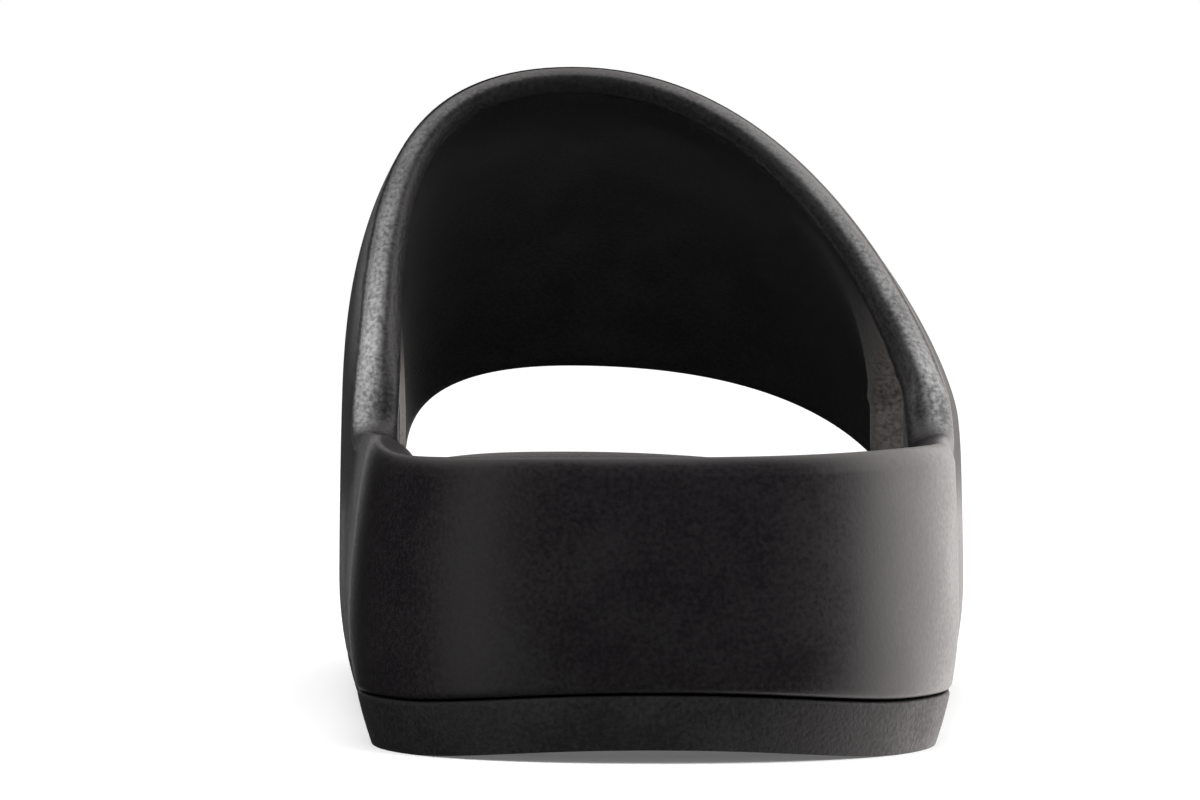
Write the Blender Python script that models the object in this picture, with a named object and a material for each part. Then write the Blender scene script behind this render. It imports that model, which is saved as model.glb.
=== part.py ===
"""Moulded foam slide sandal, right shoe, real size in metres.

Toe towards +Y, outer side towards +X, floor at z = 0. The strap and the cupped midsole are one
foam moulding: an outer skin and an inner skin, joined by a rounded lip round the foot opening and
by another round the toe opening. The insole lies in the cup and the outsole is under it all.
"""

from collections import namedtuple

import bmesh
import bpy
import numpy as np

# Sizes of the shoe
LENGTH = 0.288
BALL_WIDTH = 0.1074
HEEL_WIDTH = 0.092
HEEL_RIM = 0.0435
INSTEP_HEIGHT = 0.105
HEEL_BED = 0.0290
TOE_SPRING = 0.012
SPRING_LENGTH = 0.092
HEEL_LIFT = 0.002
HEEL_LIFT_LENGTH = 0.020

# Walls and layers
STRAP_WALL = 0.0048
SIDE_WALL = 0.0075
OUTSOLE_THICKNESS = 0.0080
INSOLE_THICKNESS = 0.0040
CLEARANCE = 0.0003
RIM_LEAN = 0.0030
BOTTOM_TUCK = 0.0035
TUCK_HEIGHT = 0.020
BULGE_HEIGHT = 0.016
WALL_FILLET = 0.0055
BED_DISH = 0.0025
LIP_ROUND = 0.72
LIP_FULLNESS = 2.5
REAR_FILLET = 0.0045
FRONT_FILLET = 0.0030

# Plan outline
HEEL_ROUND = 0.047
HEEL_FULLNESS = 2.15
TOE_ROUND = 0.108
TOE_FULLNESS = 2.3
SPINE_HEEL = 0.045
SPINE_TOE = 0.232

# Tread
GROOVE_WIDTH = 0.0045
GROOVE_DEPTH = 0.0030
GROOVE_PITCH = 0.0190
GROOVE_BOW = 0.010
GROOVE_MARGIN = 0.0075
GROOVE_TAPER = 0.7
GROOVE_STEPS = 8
Tread = namedtuple("Tread", "first last bow")
TREAD = (
    Tread(0.10, 0.34, -1),
    Tread(0.45, 0.90, 1),
)

# Stations along the sole. Heights are shares of HEEL_RIM, beds of HEEL_BED, leans of RIM_LEAN,
# drifts of BALL_WIDTH, and widening runs from 0 at HEEL_WIDTH to 1 at BALL_WIDTH.
Sole = namedtuple("Sole", "along widening drift rim_in rim_out lean_in lean_out bed")
SOLE = (
    Sole(0.000, 0.00, 0.011, 1.008, 1.008, 0.50, 0.50, 1.00),
    Sole(0.070, 0.00, 0.010, 1.002, 1.028, 0.70, 0.35, 1.00),
    Sole(0.165, 0.00, 0.009, 1.050, 1.035, 0.90, 0.20, 1.00),
    Sole(0.280, 0.20, 0.007, 1.045, 1.030, 0.60, 0.20, 0.98),
    Sole(0.347, 0.42, 0.006, 1.050, 1.040, 0.30, 0.20, 0.95),
    Sole(0.450, 0.72, 0.006, 1.050, 1.030, 0.12, 0.15, 0.86),
    Sole(0.560, 0.94, 0.005, 1.000, 0.900, 0.10, 0.15, 0.77),
    Sole(0.694, 1.00, -0.004, 0.930, 0.760, 0.15, 0.20, 0.72),
    Sole(0.826, 0.95, -0.056, 0.866, 0.760, 0.30, 0.30, 0.74),
    Sole(0.920, 0.92, -0.102, 0.826, 0.820, 0.40, 0.40, 0.78),
    Sole(1.000, 0.90, -0.154, 0.860, 0.860, 0.40, 0.40, 0.84),
)

# Bands across the strap, from its rear edge to its front edge. Places are shares of LENGTH, the
# crown's offset of BALL_WIDTH and its height of INSTEP_HEIGHT. Rise and reach are the shares of
# each side's height and width that the wall keeps before it turns over into the crown.
Band = namedtuple("Band", "across foot_in foot_out crown offset height rise_in reach_in rise_out reach_out")
STRAP = (
    Band(0.00, 0.347, 0.347, 0.441, -0.115, 1.000, 0.42, 1.02, 0.12, 0.67),
    Band(0.30, 0.485, 0.450, 0.535, -0.122, 0.935, 0.39, 1.03, 0.22, 0.73),
    Band(0.65, 0.655, 0.570, 0.645, -0.128, 0.785, 0.31, 1.01, 0.22, 0.78),
    Band(1.00, 0.826, 0.694, 0.743, -0.131, 0.561, 0.08, 0.90, 0.03, 0.85),
)
FOOT_SLOPE = 0.30

# Divisions of the surfaces
HEEL_TURN_STEPS = 8
HEEL_SIDE_STEPS = 4
FOOT_STEPS = 3
STRAP_STEPS = 10
TOE_STEPS = 10
WALL_STEPS = 6
ARCH_STEPS = 12
LIP_STEPS = 5
INNER_STEPS = 4
INSOLE_EDGE_STEPS = 2
FLOOR_STEPS = 3
FIRST_STRAP = HEEL_TURN_STEPS + HEEL_SIDE_STEPS + FOOT_STEPS
LAST_STRAP = FIRST_STRAP + STRAP_STEPS
SIDES = (-1, 1)


def read(table, column, at):
    """A smooth curve through one column of a table, read at the places given."""
    places = np.array([row[0] for row in table])
    values = np.array([getattr(row, column) for row in table])
    slopes = np.gradient(values, places)
    at = np.clip(np.asarray(at, float), places[0], places[-1])
    i = np.clip(np.searchsorted(places, at, side="right") - 1, 0, len(places) - 2)
    gap = places[i + 1] - places[i]
    f = (at - places[i]) / gap
    start = values[i] * (1 + 2 * f) * (1 - f) ** 2 + slopes[i] * gap * f * (1 - f) ** 2
    end = values[i + 1] * f**2 * (3 - 2 * f) - slopes[i + 1] * gap * f**2 * (1 - f)
    return start + end


def rounded_end(distance, reach, fullness):
    """Share of the full width at a distance from the tip, along a superellipse."""
    left = np.clip(1 - distance / reach, 0, 1)
    return (1 - left**fullness) ** (1 / fullness)


def edge(side, s):
    """Outermost x of one side of the sole, s metres in front of the heel."""
    share = s / LENGTH
    half = (HEEL_WIDTH + (BALL_WIDTH - HEEL_WIDTH) * read(SOLE, "widening", share)) / 2
    heel = rounded_end(s, HEEL_ROUND, HEEL_FULLNESS)
    toe = rounded_end(LENGTH - s, TOE_ROUND, TOE_FULLNESS)
    return read(SOLE, "drift", share) * BALL_WIDTH + side * half * heel * toe


def ground(s):
    """Height of the underside: flat, with the toe sprung and the heel's end lifted a little."""
    toe = np.clip((s - (LENGTH - SPRING_LENGTH)) / SPRING_LENGTH, 0, 1)
    heel = np.clip(1 - s / HEEL_LIFT_LENGTH, 0, 1)
    return TOE_SPRING * toe**2 + HEEL_LIFT * heel**2


def by_side(side, name):
    return name + ("_in" if side < 0 else "_out")


def stations(side):
    """Distances from the heel of the columns up one side, from the heel's end to the toe's."""
    turn = np.linspace(0, np.pi / 2, HEEL_TURN_STEPS + 1)
    heel = HEEL_ROUND * (1 - np.cos(turn) ** (2 / HEEL_FULLNESS))
    across = np.linspace(0, 1, STRAP_STEPS + 1)
    strap = read(STRAP, by_side(side, "foot"), across) * LENGTH
    climb = np.sin(np.linspace(0, np.pi / 2, FOOT_STEPS + 1))
    between = np.linspace(heel[-1], strap[0] - REAR_FILLET, HEEL_SIDE_STEPS + 1)[1:-1]
    rear_foot = strap[0] - REAR_FILLET * (1 - climb[:-1])
    front_foot = strap[-1] + FRONT_FILLET * (1 - climb[-2::-1])
    turn = np.sin(np.linspace(0, np.pi / 2, TOE_STEPS + 1)[1:])
    toe = front_foot[-1] + (LENGTH - front_foot[-1]) * turn
    return np.concatenate([heel, between, rear_foot, strap, front_foot, toe])


def outline():
    """Stations, plan points and inward normals of both sides, each of shape (side, column)."""
    s = np.array([stations(side) for side in SIDES])
    points = np.stack([np.array([edge(side, s[i]) for i, side in enumerate(SIDES)]), s], axis=2)
    loop = np.concatenate([points[0], points[1, -2:0:-1]])
    along = np.roll(loop, -1, axis=0) - np.roll(loop, 1, axis=0)
    along /= np.linalg.norm(along, axis=1)[:, None]
    inward = np.stack([along[:, 1], -along[:, 0]], axis=1)
    columns = s.shape[1]
    normals = np.empty_like(points)
    normals[0] = inward[:columns]
    normals[1, -1] = inward[columns - 1]
    normals[1, -2:0:-1] = inward[columns:]
    normals[1, 0] = inward[0]
    return s, points, normals


def both_sides(column, s):
    """A column pair of SOLE read along both sides, as an array of shape (side, column)."""
    return np.array([read(SOLE, by_side(side, column), s[i] / LENGTH) for i, side in enumerate(SIDES)])


def rim_height(s):
    """Height of the bare rim, where the wall ends and its rounded lip begins."""
    return both_sides("rim", s) * HEEL_RIM - LIP_ROUND * SIDE_WALL / 2


def wall_top(s):
    """Top of the wall: the rim, and a quarter circle up from it where each foot of the strap stands."""
    rear = np.clip(1 - (s[:, FIRST_STRAP, None] - s) / REAR_FILLET, 0, 1)
    front = np.clip(1 - (s - s[:, LAST_STRAP, None]) / FRONT_FILLET, 0, 1)
    before = np.zeros(FIRST_STRAP)
    ahead = np.ones(s.shape[1] - LAST_STRAP - 1)
    across = np.concatenate([before, np.linspace(0, 1, STRAP_STEPS + 1), ahead])
    radius = REAR_FILLET * (1 - across) + FRONT_FILLET * across
    return rim_height(s) + radius * (1 - np.sqrt(1 - np.minimum(rear, front) ** 2))


def wall_inset(s, z, rim):
    """How far the side wall stands inside the outline: tucked in at the floor and leaning in above."""
    lean = both_sides("lean", s) * RIM_LEAN
    low = np.clip(1 - (z - ground(s)) / TUCK_HEIGHT, 0, 1)
    high = np.clip((z - BULGE_HEIGHT) / (rim - BULGE_HEIGHT), 0, None)
    return BOTTOM_TUCK * low**2 + lean * high**2


def inset_points(points, normals, inset, z):
    flat = points + normals * inset[..., None]
    return np.concatenate([flat, z[..., None]], axis=2)


def rows(first, last, shares):
    """Points between two arrays of points at the given shares, on a new axis before the last."""
    shares = np.asarray(shares)[:, None]
    return first[..., None, :] * (1 - shares) + last[..., None, :] * shares


def spine(s, height):
    """Middle line of the sole, where the columns of both sides end."""
    middle = np.clip(s.mean(axis=0), SPINE_HEEL, SPINE_TOE)
    x = read(SOLE, "drift", middle / LENGTH) * BALL_WIDTH
    line = np.stack([x, middle, height(middle)], axis=1)
    return np.stack([line, line])


def bed_height(s):
    return read(SOLE, "bed", s / LENGTH) * HEEL_BED


def outer_wall(s, points, normals, bottom, top):
    """The side wall between two heights, as rows of points from the lower to the upper one."""
    rim = rim_height(s)
    levels = []
    for share in np.linspace(0, 1, WALL_STEPS + 1):
        z = bottom + (top - bottom) * share
        levels.append(inset_points(points, normals, wall_inset(s, z, rim), z))
    return np.stack(levels, axis=2)


def arch(feet, directions):
    """The strap's outer skin: one curve a side from the wall's top to the crown, for each band."""
    across = np.linspace(0, 1, STRAP_STEPS + 1)
    crown = np.stack(
        [
            read(STRAP, "offset", across) * BALL_WIDTH,
            read(STRAP, "crown", across) * LENGTH,
            read(STRAP, "height", across) * INSTEP_HEIGHT,
        ],
        axis=1,
    )
    f = np.linspace(0, 1, ARCH_STEPS + 1)[:, None]
    skins = []
    for i, side in enumerate(SIDES):
        rise = read(STRAP, by_side(side, "rise"), across)[:, None]
        reach = read(STRAP, by_side(side, "reach"), across)[:, None]
        foot = feet[i]
        climb = (crown - foot)[:, 2:]
        width = np.abs(crown - foot)[:, :1]
        lower = foot + directions[i] * climb * rise
        upper = crown + np.array([side, 0, 0]) * width * reach
        curve = (
            foot[:, None] * (1 - f) ** 3
            + lower[:, None] * 3 * f * (1 - f) ** 2
            + upper[:, None] * 3 * f**2 * (1 - f)
            + crown[:, None] * f**3
        )
        skins.append(curve)
    return np.stack(skins)


def skin_normals(skin):
    """Unit normals of one strap skin that point to the foot, from its two grid directions."""
    over = np.concatenate([skin[0], skin[1][:, -2::-1]], axis=1)
    along = np.gradient(over, axis=0)
    around = np.gradient(over, axis=1)
    normals = np.cross(along, around)
    normals /= np.linalg.norm(normals, axis=2)[..., None]
    middle = normals[normals.shape[0] // 2, ARCH_STEPS]
    normals *= -np.sign(middle[2])
    return np.stack([normals[:, : ARCH_STEPS + 1], normals[:, : ARCH_STEPS - 1 : -1]])


def lip(outer, inner):
    """A rounded lip between two matching closed edges. It stands out on the left of the way they
    run, seen with the outer edge on top."""
    along = np.roll(outer + inner, -1, axis=0) - np.roll(outer + inner, 1, axis=0)
    half = (outer - inner) / 2
    out = np.cross(along, half)
    out /= np.linalg.norm(out, axis=1)[:, None]
    thick = np.linalg.norm(half, axis=1)[:, None]
    grid = [outer]
    for turn in np.linspace(0, np.pi, LIP_STEPS + 1)[1:-1]:
        share = abs(np.cos(turn)) ** (2 / LIP_FULLNESS) * np.sign(np.cos(turn))
        bulge = np.sin(turn) ** (2 / LIP_FULLNESS)
        grid.append((outer + inner) / 2 + half * share + out * thick * LIP_ROUND * bulge)
    grid.append(inner)
    return np.stack(grid, axis=1)


def solid(name, grids, loops):
    """One closed mesh from open grids and from grids that close on themselves, welded at their edges."""
    coordinates = []
    faces = []
    start = 0
    for grid, closes in [(g, False) for g in grids] + [(g, True) for g in loops]:
        n, m = grid.shape[:2]
        index = np.arange(n * m).reshape(n, m) + start
        after = np.roll(index, -1, axis=0) if closes else index[1:]
        before = index if closes else index[:-1]
        quads = np.stack([before[:, :-1], after[:, :-1], after[:, 1:], before[:, 1:]], axis=2)
        faces.extend(quads.reshape(-1, 4).tolist())
        coordinates.append(grid.reshape(-1, 3))
        start += n * m
    points = np.concatenate(coordinates) - np.array([0, LENGTH / 2, 0])
    mesh = bpy.data.meshes.new(name)
    mesh.from_pydata(points.tolist(), [], faces)
    form = bmesh.new()
    form.from_mesh(mesh)
    bmesh.ops.remove_doubles(form, verts=form.verts, dist=1e-6)
    bmesh.ops.dissolve_degenerate(form, edges=form.edges, dist=1e-7)
    bmesh.ops.recalc_face_normals(form, faces=form.faces)
    form.to_mesh(mesh)
    form.free()
    mesh.shade_smooth()
    thing = bpy.data.objects.new(name, mesh)
    bpy.context.collection.objects.link(thing)
    return thing


def rear_loop(rim, strap):
    """The edge of the foot opening: round the heel, then over the strap's rear band."""
    heel = np.concatenate([rim[1, FIRST_STRAP - 1 : 0 : -1], rim[0, :FIRST_STRAP]])
    return np.concatenate([heel, strap[0, 0], strap[1, 0, -2::-1]])


def toe_loop(rim, strap):
    """The edge of the toe opening: round the toe, then over the strap's front band."""
    toe = np.concatenate([rim[0, LAST_STRAP + 1 :], rim[1, -2:LAST_STRAP:-1]])
    return np.concatenate([toe, strap[1, -1], strap[0, -1, -2::-1]])


def cup_wall(s, normals, rim_edge, z):
    """Points of the cup's inner wall at the height z, with the fillet that turns it into the floor."""
    floor = bed_height(s) + BED_DISH
    down = np.clip((rim_height(s) - z) / (rim_height(s) - floor), 0, None)
    points = rim_edge.copy()
    points[..., :2] += normals * (WALL_FILLET * down**2)[..., None]
    points[..., 2] = z
    return points


def dished(edge_points, middle, rise):
    """A dished floor from an edge to the middle line, level where the two sides meet."""
    shares = np.linspace(0, 1, FLOOR_STEPS + 1)
    surface = rows(edge_points, middle, shares)
    bottom = middle[..., 2:] + rise
    surface[..., 2] = bottom + (edge_points[..., 2:] - bottom) * (1 - shares) ** 2
    return surface


def level(normals):
    return np.concatenate([normals, np.zeros(normals.shape[:2] + (1,))], axis=2)


def strap_skins(wall, normals):
    """Outer and inner skin of the strap. The wall thins from the feet to the crown."""
    strap = slice(FIRST_STRAP, LAST_STRAP + 1)
    feet = wall[:, strap, -1]
    directions = feet - wall[:, strap, -2]
    directions /= directions[..., 2:]
    directions[..., 1] += FOOT_SLOPE * np.linspace(1, -1, STRAP_STEPS + 1)
    outer = arch(feet, directions)
    steps = np.arange(ARCH_STEPS + 1)
    thickness = SIDE_WALL + (STRAP_WALL - SIDE_WALL) * np.sin(steps / ARCH_STEPS * np.pi / 2)
    turned = np.clip(steps / 3, 0, 1)[:, None]
    inward = level(normals[:, strap])[:, :, None] * (1 - turned) + skin_normals(outer) * turned
    inward /= np.linalg.norm(inward, axis=3)[..., None]
    inner = outer + inward * thickness[:, None]
    inner[:, :, -1] = inner[:, :, -1].mean(axis=0)
    return outer, inner


def upper_and_midsole(s, points, normals):
    """Strap and cupped midsole in one: outer skin, inner skin and the two lips."""
    base = ground(s) + OUTSOLE_THICKNESS + CLEARANCE
    wall = outer_wall(s, points, normals, base, wall_top(s))
    middle = spine(s, lambda along: ground(along) + OUTSOLE_THICKNESS + CLEARANCE)
    underside = rows(wall[:, :, 0], middle, np.linspace(0, 1, FLOOR_STEPS + 1))

    rim = wall[:, :, -1]
    inner_rim = rim + level(normals) * SIDE_WALL
    floor = bed_height(s) + BED_DISH
    levels = [rim[..., 2] * (1 - f) + floor * f for f in np.linspace(0, 1, INNER_STEPS + 1)]
    inner_wall = np.stack([cup_wall(s, normals, inner_rim, z) for z in levels], axis=2)
    bed = dished(inner_wall[:, :, -1], spine(s, bed_height), 0)

    outer_strap, inner_strap = strap_skins(wall, normals)
    foot_lip = lip(rear_loop(rim, outer_strap), rear_loop(inner_rim, inner_strap))
    toe_lip = lip(toe_loop(rim, outer_strap), toe_loop(inner_rim, inner_strap))
    grids = [side for block in (wall, underside, inner_wall, bed, outer_strap, inner_strap) for side in block]
    return solid("upper_and_midsole", grids, [foot_lip, toe_lip])


def insole(s, points, normals):
    """The footbed: a soft layer that follows the cup's floor and wall with a small clearance."""
    rim = outer_wall(s, points, normals, ground(s), wall_top(s))[:, :, -1]
    inner_rim = rim + level(normals) * (SIDE_WALL + CLEARANCE)
    floor = bed_height(s) + BED_DISH + CLEARANCE
    levels = [floor + INSOLE_THICKNESS * f for f in np.linspace(0, 1, INSOLE_EDGE_STEPS + 1)]
    side = np.stack([cup_wall(s, normals, inner_rim, z) for z in levels], axis=2)
    under = dished(side[:, :, 0], spine(s, bed_height), CLEARANCE)
    over = dished(side[:, :, -1], spine(s, bed_height), CLEARANCE + INSOLE_THICKNESS)
    return solid("insole", [half for block in (side, under, over) for half in block], [])


def groove(row, s0):
    """One bowed bar across the tread, to be cut out of the outsole, as rings of four corners."""
    share = np.linspace(-1, 1, GROOVE_STEPS + 1)
    ends = np.array([edge(side, s0) for side in SIDES]) - np.array(SIDES) * (BOTTOM_TUCK + GROOVE_MARGIN)
    x = ends.mean() + (ends[1] - ends[0]) / 2 * share
    s = s0 + row.bow * GROOVE_BOW * (1 - share**2)
    half = GROOVE_WIDTH / 2
    mouth = np.full_like(s, -GROOVE_DEPTH)
    root = ground(s) + GROOVE_DEPTH
    ring = ((-half, mouth), (half, mouth), (half * GROOVE_TAPER, root), (-half * GROOVE_TAPER, root))
    return np.stack([np.stack([x, s + width, z], axis=1) for width, z in ring])


def tread_cutter():
    """All grooves in one hidden cutter."""
    form = bmesh.new()
    for row in TREAD:
        for s0 in np.arange(row.first, row.last, GROOVE_PITCH / LENGTH) * LENGTH:
            ring = groove(row, s0) - np.array([0, LENGTH / 2, 0])
            corners = [[form.verts.new(point) for point in line] for line in ring]
            for a, b in zip(corners, corners[1:] + corners[:1]):
                for i in range(GROOVE_STEPS):
                    form.faces.new((a[i], a[i + 1], b[i + 1], b[i]))
            for end in (0, -1):
                form.faces.new([line[end] for line in corners])
    bmesh.ops.recalc_face_normals(form, faces=form.faces)
    mesh = bpy.data.meshes.new("tread_cutter")
    form.to_mesh(mesh)
    form.free()
    cutter = bpy.data.objects.new("tread_cutter", mesh)
    cutter.hide_render = True
    cutter.display_type = "WIRE"
    bpy.context.collection.objects.link(cutter)
    return cutter


def outsole(s, points, normals):
    """The bottom layer, with bowed grooves between its lugs."""
    top = ground(s) + OUTSOLE_THICKNESS
    wall = outer_wall(s, points, normals, ground(s), top)
    shares = np.linspace(0, 1, FLOOR_STEPS + 1)
    under = rows(wall[:, :, 0], spine(s, ground), shares)
    over = rows(wall[:, :, -1], spine(s, lambda along: ground(along) + OUTSOLE_THICKNESS), shares)
    sole = solid("outsole", [half for block in (wall, under, over) for half in block], [])
    cut = sole.modifiers.new("tread", "BOOLEAN")
    cut.operation = "DIFFERENCE"
    cut.solver = "EXACT"
    cut.object = tread_cutter()
    return sole


def paint(thing, colour, roughness):
    material = bpy.data.materials.new(thing.name + "_foam")
    material.use_nodes = True
    shader = material.node_tree.nodes["Principled BSDF"]
    shader.inputs["Base Color"].default_value = (*colour, 1)
    shader.inputs["Roughness"].default_value = roughness
    shader.inputs["Metallic"].default_value = 0
    thing.data.materials.append(material)


def build():
    for thing in list(bpy.data.objects):
        bpy.data.objects.remove(thing)
    s, points, normals = outline()
    paint(upper_and_midsole(s, points, normals), (0.014, 0.013, 0.014), 0.48)
    paint(insole(s, points, normals), (0.012, 0.011, 0.012), 0.62)
    paint(outsole(s, points, normals), (0.013, 0.013, 0.013), 0.60)


build()
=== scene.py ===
"""Moulded black foam slide sandal, right shoe: finished surfaces, materials and a small studio.
Lengths are in metres and angles in degrees. Places along the sole, s, run from the heel to the toe."""

from collections import namedtuple

import bmesh
import bpy
import numpy as np
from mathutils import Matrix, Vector


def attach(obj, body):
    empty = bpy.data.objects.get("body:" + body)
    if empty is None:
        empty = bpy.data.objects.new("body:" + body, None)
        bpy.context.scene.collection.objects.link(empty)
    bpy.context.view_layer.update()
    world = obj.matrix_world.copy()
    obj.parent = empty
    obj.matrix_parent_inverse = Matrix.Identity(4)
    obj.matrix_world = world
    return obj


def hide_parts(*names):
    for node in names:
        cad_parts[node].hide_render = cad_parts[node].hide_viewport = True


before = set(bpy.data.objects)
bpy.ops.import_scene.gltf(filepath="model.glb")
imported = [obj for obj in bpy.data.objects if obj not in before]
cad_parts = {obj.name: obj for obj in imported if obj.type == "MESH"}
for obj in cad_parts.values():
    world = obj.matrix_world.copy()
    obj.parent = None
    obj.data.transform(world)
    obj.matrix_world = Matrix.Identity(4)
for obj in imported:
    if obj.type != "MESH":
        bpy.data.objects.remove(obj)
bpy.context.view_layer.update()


# Outsole: the bottom layer, a dense foam slab that follows the outline of the shoe. It is moulded
# with bowed grooves between flat lugs and is bonded under the midsole all round.
LENGTH = 0.288
BALL_WIDTH = 0.1074
HEEL_WIDTH = 0.092
HEEL_RIM = 0.0435
SIDE_WALL = 0.0075
OUTSOLE_THICKNESS = 0.0080
TOE_SPRING = 0.012
SPRING_LENGTH = 0.092
HEEL_LIFT = 0.002
HEEL_LIFT_LENGTH = 0.020
RIM_LEAN = 0.0030
BOTTOM_TUCK = 0.0035
TUCK_HEIGHT = 0.020
BULGE_HEIGHT = 0.016
LIP_ROUND = 0.72
HEEL_ROUND = 0.047
HEEL_FULLNESS = 2.15
TOE_ROUND = 0.108
TOE_FULLNESS = 2.3
SPINE_HEEL = 0.045
SPINE_TOE = 0.232
EDGE_SOFTENING = 0.0007
SIDES = (-1, 1)

# Arcs at the strap's rear and front feet: their lengths along the sole. The lean is how far the
# inner and the outer wall have moved in at a height of REAR_FILLET above the rim.
REAR_FILLET = 0.0072
FRONT_FILLET = 0.0045
FOOT_LEAN = (0.0, 0.0004)

# Steps of the grid that the surfaces share: columns up each side from the heel's end to the toe,
# rows up the wall, and rows from the wall to the middle line.
HEEL_TURN_STEPS = 36
HEEL_SIDE_STEPS = 18
FOOT_STEPS = 9
STRAP_STEPS = 46
TOE_STEPS = 40
WALL_STEPS = 22
FLOOR_STEPS = 8
FIRST_STRAP = HEEL_TURN_STEPS + HEEL_SIDE_STEPS + FOOT_STEPS
LAST_STRAP = FIRST_STRAP + STRAP_STEPS
ACROSS = np.linspace(0, 1, STRAP_STEPS + 1)
FLOOR_SHARES = np.linspace(0, 1, FLOOR_STEPS + 1)

# Stations along the sole, as shares of LENGTH from the heel's end: heights are shares of HEEL_RIM,
# beds of the heel's bed, leans of RIM_LEAN and drifts of BALL_WIDTH, and widening goes from 0 at
# HEEL_WIDTH to 1 at BALL_WIDTH.
Sole = namedtuple("Sole", "along widening drift rim_in rim_out lean_in lean_out bed")
SOLE = (
    Sole(0.000, 0.00, 0.011, 1.008, 1.008, 0.50, 0.50, 1.00),
    Sole(0.070, 0.00, 0.010, 1.002, 1.028, 0.70, 0.35, 1.00),
    Sole(0.165, 0.00, 0.009, 1.050, 1.035, 0.90, 0.20, 1.00),
    Sole(0.280, 0.20, 0.007, 1.045, 1.030, 0.60, 0.20, 0.98),
    Sole(0.347, 0.42, 0.006, 1.050, 1.040, 0.30, 0.20, 0.95),
    Sole(0.450, 0.72, 0.006, 1.050, 1.030, 0.12, 0.15, 0.86),
    Sole(0.560, 0.94, 0.005, 1.000, 0.900, 0.10, 0.15, 0.77),
    Sole(0.694, 1.00, -0.004, 0.930, 0.760, 0.15, 0.20, 0.72),
    Sole(0.826, 0.95, -0.056, 0.866, 0.760, 0.30, 0.30, 0.74),
    Sole(0.920, 0.92, -0.102, 0.826, 0.820, 0.40, 0.40, 0.78),
    Sole(1.000, 0.90, -0.154, 0.860, 0.860, 0.40, 0.40, 0.84),
)

# Bands across the strap from its rear edge to its front edge: places are shares of LENGTH, the
# crown's offset of BALL_WIDTH and its height of INSTEP_HEIGHT. The last four are how far the arch
# heads up from each foot and out from the crown, as shares of its own height and width.
INSTEP_HEIGHT = 0.105
Band = namedtuple("Band", "across foot_in foot_out crown offset height rise_in reach_in rise_out reach_out")
STRAP = (
    Band(0.00, 0.347, 0.347, 0.441, -0.115, 1.000, 0.46, 1.010, 0.14, 0.67),
    Band(0.30, 0.485, 0.450, 0.535, -0.122, 0.935, 0.35, 1.01, 0.17, 0.715),
    Band(0.65, 0.655, 0.570, 0.645, -0.128, 0.785, 0.28, 1.00, 0.18, 0.765),
    Band(1.00, 0.826, 0.694, 0.743, -0.131, 0.568, 0.34, 0.945, 0.04, 0.862),
)


def read(table, column, at):
    """Cubic Hermite curve through one column: at each station the slope is that of its neighbours."""
    places = np.array([row[0] for row in table])
    values = np.array([getattr(row, column) for row in table])
    slopes = np.gradient(values, places)
    at = np.clip(np.asarray(at, float), places[0], places[-1])
    i = np.clip(np.searchsorted(places, at, side="right") - 1, 0, len(places) - 2)
    gap = places[i + 1] - places[i]
    f = (at - places[i]) / gap
    start = values[i] * (1 + 2 * f) * (1 - f) ** 2 + slopes[i] * gap * f * (1 - f) ** 2
    end = values[i + 1] * f**2 * (3 - 2 * f) - slopes[i + 1] * gap * f**2 * (1 - f)
    return start + end


def by_side(side, name):
    """Name of a column that differs between the inner and the outer side."""
    return name + ("_in" if side < 0 else "_out")


def rounded_end(distance, reach, fullness):
    """Superellipse: (1 - (1 - distance / reach) ** fullness) ** (1 / fullness)."""
    left = np.clip(1 - distance / reach, 0, 1)
    return (1 - left**fullness) ** (1 / fullness)


def edge(side, s):
    """Outermost x at s: the drift of the middle line plus the half width, rounded off at both ends."""
    share = s / LENGTH
    half = (HEEL_WIDTH + (BALL_WIDTH - HEEL_WIDTH) * read(SOLE, "widening", share)) / 2
    heel = rounded_end(s, HEEL_ROUND, HEEL_FULLNESS)
    toe = rounded_end(LENGTH - s, TOE_ROUND, TOE_FULLNESS)
    return read(SOLE, "drift", share) * BALL_WIDTH + side * half * heel * toe


def ground(s):
    """Underside: flat, with a parabola up to the toe and a short one up to the heel's end."""
    toe = np.clip((s - (LENGTH - SPRING_LENGTH)) / SPRING_LENGTH, 0, 1)
    heel = np.clip(1 - s / HEEL_LIFT_LENGTH, 0, 1)
    return TOE_SPRING * toe**2 + HEEL_LIFT * heel**2


def sole_top(s):
    """Top of the outsole: its thickness above the underside."""
    return ground(s) + OUTSOLE_THICKNESS


def stations(side):
    """Columns up one side: even turns round the heel, even steps to the strap's foot, sine steps
    through its fillet, the strap's own bands, the fillet in front, and sine steps to the toe."""
    turn = np.linspace(0, np.pi / 2, HEEL_TURN_STEPS + 1)
    heel = HEEL_ROUND * (1 - np.cos(turn) ** (2 / HEEL_FULLNESS))
    strap = read(STRAP, by_side(side, "foot"), ACROSS) * LENGTH
    climb = np.sin(np.linspace(0, np.pi / 2, FOOT_STEPS + 1))
    between = np.linspace(heel[-1], strap[0] - REAR_FILLET, HEEL_SIDE_STEPS + 1)[1:-1]
    rear_foot = strap[0] - REAR_FILLET * (1 - climb[:-1])
    front_foot = strap[-1] + FRONT_FILLET * (1 - climb[-2::-1])
    ahead = np.sin(np.linspace(0, np.pi / 2, TOE_STEPS + 1)[1:])
    toe = front_foot[-1] + (LENGTH - front_foot[-1]) * ahead
    return np.concatenate([heel, between, rear_foot, strap, front_foot, toe])


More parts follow.
